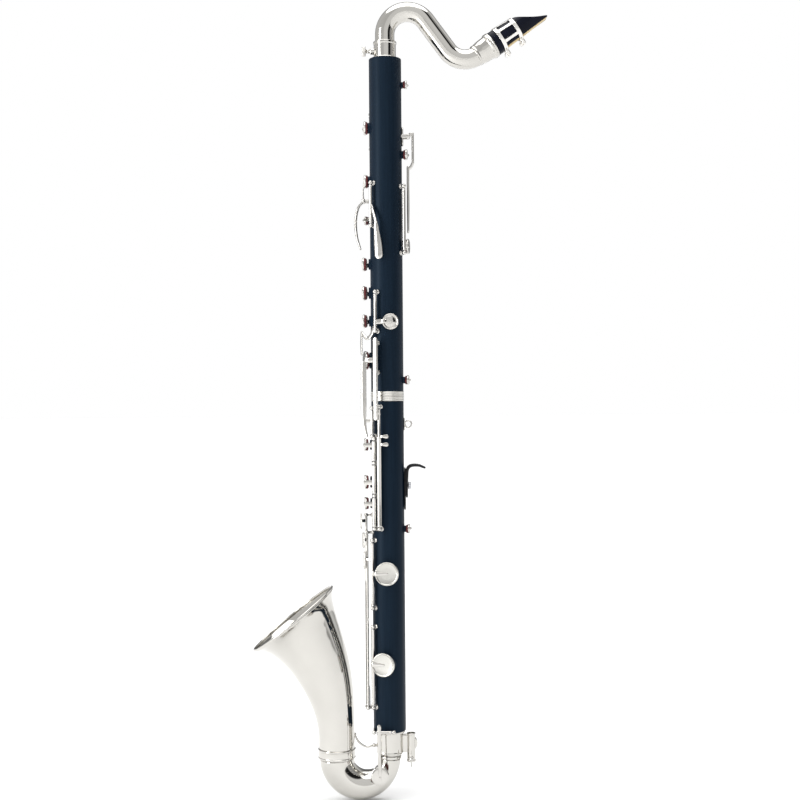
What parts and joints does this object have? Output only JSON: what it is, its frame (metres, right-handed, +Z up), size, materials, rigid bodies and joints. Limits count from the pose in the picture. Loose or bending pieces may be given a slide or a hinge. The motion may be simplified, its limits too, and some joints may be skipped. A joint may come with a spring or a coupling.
{
  "type": "bass clarinet",
  "caption": "Low bass clarinet with a blackwood body in two joints, curved metal neck, upturned metal bell, working sprung keys, mouthpiece and floor peg socket.",
  "frame": {"origin": "centre of the lower mouth of the floor peg socket", "axes": "+Z up along the body, -X towards the bell (front), +X towards the player"},
  "size_m": [0.394, 0.1342, 1.0507],
  "materials": {
    "body_wood": "satin oiled blackwood",
    "silver_plate": "polished silver plate",
    "bright_plate": "polished plate",
    "spring_steel": "blued and ground steel",
    "pad_leather": "soft dark red leather",
    "cork": "matte cork",
    "hard_rubber": "polished hard rubber",
    "reed_cane": "dry cane",
    "black_enamel": "satin black enamel"
  },
  "bodies": {
    "body": {"upper_joint": "body_wood", "lower_joint": "body_wood", "upper_joint_band": "silver_plate", "lower_joint_band": "silver_plate", "middle_tenon_cork": "cork", "upper_posts": "silver_plate", "lower_posts": "silver_plate", "upper_hinge_rods": "spring_steel", "lower_hinge_rods": "spring_steel", "needle_springs": "spring_steel", "register_saddle": "silver_plate", "strap_ring": "silver_plate", "thumb_rest_plate": "black_enamel", "peg_receiver": "silver_plate", "bow_collar": "silver_plate", "bow": "silver_plate", "bow_ferrules": "silver_plate", "bell": "silver_plate", "bell_rim": "silver_plate", "bell_brace": "silver_plate", "neck_receiver": "silver_plate"},
    "neck": {"neck_tube": "silver_plate", "neck_socket": "silver_plate"},
    "mouthpiece": {"mouthpiece": "hard_rubber", "mouthpiece_cork": "cork", "reed": "reed_cane", "ligature": "bright_plate"},
    "ligature_screw_lower": {"ligature_screw_lower": "bright_plate"},
    "ligature_screw_upper": {"ligature_screw_upper": "bright_plate"},
    "neck_clamp_screw": {"neck_clamp_screw": "silver_plate"},
    "peg_clamp_screw": {"peg_clamp_screw": "silver_plate"},
    "thumb_rest_hook": {"thumb_rest_hook": "black_enamel"},
    "thumb_rest_screw": {"thumb_rest_screw": "spring_steel"},
    "thumb_key": {"thumb_key": "silver_plate"},
    "lower_vent_key": {"lower_vent_key": "silver_plate"},
    "upper_vent_key": {"upper_vent_key": "silver_plate"},
    "trill_key": {"trill_key": "silver_plate"},
    "throat_gsharp_key": {"throat_gsharp_key": "silver_plate"},
    "left_index_key": {"left_index_key": "silver_plate"},
    "left_middle_key": {"left_middle_key": "silver_plate"},
    "left_ring_key": {"left_ring_key": "silver_plate"},
    "c_sharp_key": {"c_sharp_key": "silver_plate"},
    "b_natural_key": {"b_natural_key": "silver_plate"},
    "side_b_flat_key": {"side_b_flat_key": "silver_plate"},
    "right_index_key": {"right_index_key": "silver_plate"},
    "right_middle_key": {"right_middle_key": "silver_plate"},
    "right_ring_key": {"right_ring_key": "silver_plate"},
    "side_f_sharp_key": {"side_f_sharp_key": "silver_plate"},
    "low_e_key": {"low_e_key": "silver_plate", "low_e_pad": "pad_leather"},
    "low_e_flat_key": {"low_e_flat_key": "silver_plate", "low_e_flat_pad": "pad_leather"},
    "left_low_e_lever": {"left_low_e_lever": "silver_plate"},
    "left_f_sharp_lever": {"left_f_sharp_lever": "silver_plate"},
    "right_low_c_rod": {"right_low_c_rod": "silver_plate"},
    "right_low_d_rod": {"right_low_d_rod": "silver_plate"},
    "register_key": {"register_key": "silver_plate"},
    "throat_a_key": {"throat_a_key": "silver_plate"},
    "bow_key": {"bow_key": "silver_plate", "bow_pad": "pad_leather"}
  },
  "joints": [
    {"name": "thumb_key", "type": "hinge", "parent": "body", "child": "thumb_key", "pos_m": [-0.0043, -0.01208, 0.7135], "axis": [0, 0, 1], "range_deg": [0, 7], "stiffness_Nm_per_rad": 0.15, "springref_deg": -20.05},
    {"name": "lower_vent_key", "type": "hinge", "parent": "body", "child": "lower_vent_key", "pos_m": [-0.0102, 0.01977, 0.806], "axis": [0, 0, 1], "range_deg": [0, 5], "stiffness_Nm_per_rad": 0.15, "springref_deg": -20.05},
    {"name": "upper_vent_key", "type": "hinge", "parent": "body", "child": "upper_vent_key", "pos_m": [-0.01162, 0.02096, 0.87], "axis": [0, 0, 1], "range_deg": [0, 8.2], "stiffness_Nm_per_rad": 0.15, "springref_deg": -20.05},
    {"name": "trill_key", "type": "hinge", "parent": "body", "child": "trill_key", "pos_m": [-0.04777, 0.0178, 0.834], "axis": [0, 0, -1], "range_deg": [0, 8], "stiffness_Nm_per_rad": 0.15, "springref_deg": -20.05},
    {"name": "throat_gsharp_key", "type": "hinge", "parent": "body", "child": "throat_gsharp_key", "pos_m": [-0.04777, -0.0178, 0.733], "axis": [0, 0, 1], "range_deg": [0, 6], "stiffness_Nm_per_rad": 0.15, "springref_deg": -20.05},
    {"name": "left_index_key", "type": "hinge", "parent": "body", "child": "left_index_key", "pos_m": [-0.04364, 0.02152, 0.656], "axis": [0, 0, 1], "range_deg": [0, 7], "stiffness_Nm_per_rad": 0.15, "springref_deg": -20.05},
    {"name": "left_middle_key", "type": "hinge", "parent": "body", "child": "left_middle_key", "pos_m": [-0.04364, 0.02152, 0.618], "axis": [0, 0, 1], "range_deg": [0, 7], "stiffness_Nm_per_rad": 0.15, "springref_deg": -20.05},
    {"name": "left_ring_key", "type": "hinge", "parent": "body", "child": "left_ring_key", "pos_m": [-0.04364, 0.02152, 0.581], "axis": [0, 0, 1], "range_deg": [0, 7], "stiffness_Nm_per_rad": 0.15, "springref_deg": -20.05},
    {"name": "c_sharp_key", "type": "hinge", "parent": "body", "child": "c_sharp_key", "pos_m": [-0.04287, -0.02205, 0.5925], "axis": [0, 0, -1], "range_deg": [0, 6], "stiffness_Nm_per_rad": 0.15, "springref_deg": -20.05},
    {"name": "b_natural_key", "type": "hinge", "parent": "body", "child": "b_natural_key", "pos_m": [-0.04287, -0.02205, 0.532], "axis": [0, 0, -1], "range_deg": [0, 5], "stiffness_Nm_per_rad": 0.15, "springref_deg": -20.05},
    {"name": "side_b_flat_key", "type": "hinge", "parent": "body", "child": "side_b_flat_key", "pos_m": [-0.0102, 0.01977, 0.5085], "axis": [0, 0, 1], "range_deg": [0, 8], "stiffness_Nm_per_rad": 0.15, "springref_deg": -20.05},
    {"name": "right_index_key", "type": "hinge", "parent": "body", "child": "right_index_key", "pos_m": [-0.0458, -0.01977, 0.4105], "axis": [0, 0, -1], "range_deg": [0, 7], "stiffness_Nm_per_rad": 0.15, "springref_deg": -20.05},
    {"name": "right_middle_key", "type": "hinge", "parent": "body", "child": "right_middle_key", "pos_m": [-0.0458, -0.01977, 0.3734], "axis": [0, 0, -1], "range_deg": [0, 7], "stiffness_Nm_per_rad": 0.15, "springref_deg": -20.05},
    {"name": "right_ring_key", "type": "hinge", "parent": "body", "child": "right_ring_key", "pos_m": [-0.0458, -0.01977, 0.3304], "axis": [0, 0, -1], "range_deg": [0, 7], "stiffness_Nm_per_rad": 0.15, "springref_deg": -20.05},
    {"name": "side_f_sharp_key", "type": "hinge", "parent": "body", "child": "side_f_sharp_key", "pos_m": [-0.0102, 0.01977, 0.3], "axis": [0, 0, 1], "range_deg": [0, 8], "stiffness_Nm_per_rad": 0.15, "springref_deg": -20.05},
    {"name": "low_e_key", "type": "hinge", "parent": "body", "child": "low_e_key", "pos_m": [-0.04907, -0.01623, 0.249], "axis": [0, 0, 1], "range_deg": [0, 6], "stiffness_Nm_per_rad": 0.15, "springref_deg": -20.05},
    {"name": "low_e_flat_key", "type": "hinge", "parent": "body", "child": "low_e_flat_key", "pos_m": [-0.04907, -0.01623, 0.1275], "axis": [0, 0, 1], "range_deg": [0, 6], "stiffness_Nm_per_rad": 0.15, "springref_deg": -20.05},
    {"name": "left_low_e_lever", "type": "hinge", "parent": "body", "child": "left_low_e_lever", "pos_m": [-0.04821, -0.0182, 0.448], "axis": [0, 0, -1], "range_deg": [0, 6], "stiffness_Nm_per_rad": 0.15, "springref_deg": -20.05},
    {"name": "left_f_sharp_lever", "type": "hinge", "parent": "body", "child": "left_f_sharp_lever", "pos_m": [-0.03906, -0.02485, 0.3885], "axis": [0, 0, -1], "range_deg": [0, 6], "stiffness_Nm_per_rad": 0.15, "springref_deg": -20.05},
    {"name": "right_low_c_rod", "type": "hinge", "parent": "body", "child": "right_low_c_rod", "pos_m": [-0.05738, 0.00103, 0.199], "axis": [0, 0, 1], "range_deg": [0, 6], "stiffness_Nm_per_rad": 0.15, "springref_deg": -20.05},
    {"name": "right_low_d_rod", "type": "hinge", "parent": "body", "child": "right_low_d_rod", "pos_m": [-0.05626, -0.0081, 0.188], "axis": [0, 0, 1], "range_deg": [0, 6], "stiffness_Nm_per_rad": 0.15, "springref_deg": -20.05},
    {"name": "register_key", "type": "hinge", "parent": "body", "child": "register_key", "pos_m": [0.002, 0, 0.824], "axis": [0, 1, 0], "range_deg": [0, 2], "stiffness_Nm_per_rad": 0.15, "springref_deg": -20.05},
    {"name": "throat_a_key", "type": "hinge", "parent": "body", "child": "throat_a_key", "pos_m": [-0.0575, 0, 0.739], "axis": [0, -1, 0], "range_deg": [0, 5], "stiffness_Nm_per_rad": 0.15, "springref_deg": -20.05},
    {"name": "bow_key", "type": "hinge", "parent": "body", "child": "bow_key", "pos_m": [-0.031, -0.026, 0.0446], "axis": [1, 0, 0], "range_deg": [0, 5], "stiffness_Nm_per_rad": 0.15, "springref_deg": -20.05},
    {"name": "neck_turn", "type": "hinge", "parent": "body", "child": "neck", "pos_m": [-0.028, 0, 0.942], "axis": [0, 0, 1], "range_deg": [-35, 25]},
    {"name": "mouthpiece_turn", "type": "hinge", "parent": "neck", "child": "mouthpiece", "pos_m": [0.11483, 0.00499, 0.94595], "axis": [0.8285, 0.0289, 0.5592], "range_deg": [-20, 20]},
    {"name": "ligature_screw_lower", "type": "hinge", "parent": "mouthpiece", "child": "ligature_screw_lower", "pos_m": [0.13519, 0.0057, 0.93524], "axis": [-0.0349, 0.9994, 0], "continuous": true},
    {"name": "ligature_screw_upper", "type": "hinge", "parent": "mouthpiece", "child": "ligature_screw_upper", "pos_m": [0.15505, 0.00639, 0.94996], "axis": [-0.0349, 0.9994, 0], "continuous": true},
    {"name": "neck_clamp_screw", "type": "hinge", "parent": "body", "child": "neck_clamp_screw", "pos_m": [-0.048, 0, 0.937], "axis": [-1, 0, 0], "continuous": true},
    {"name": "peg_clamp_screw", "type": "hinge", "parent": "body", "child": "peg_clamp_screw", "pos_m": [0, -0.008, 0.0055], "axis": [0, -1, 0], "continuous": true},
    {"name": "thumb_rest_screw", "type": "hinge", "parent": "thumb_rest_hook", "child": "thumb_rest_screw", "pos_m": [-0.003, 0, 0.364], "axis": [1, 0, 0], "continuous": true},
    {"name": "thumb_rest_slide", "type": "slide", "parent": "body", "child": "thumb_rest_hook", "axis": [0, 0, 1], "range_m": [-0.006, 0.006]}
  ],
  "couplings": [
    {"joint": "upper_vent_key", "follows": "register_key", "ratio": 4},
    {"joint": "low_e_key", "follows": "left_low_e_lever", "ratio": 0.99},
    {"joint": "bow_key", "follows": "right_low_c_rod", "ratio": 0.82},
    {"joint": "low_e_flat_key", "follows": "right_low_d_rod", "ratio": 0.99}
  ]
}
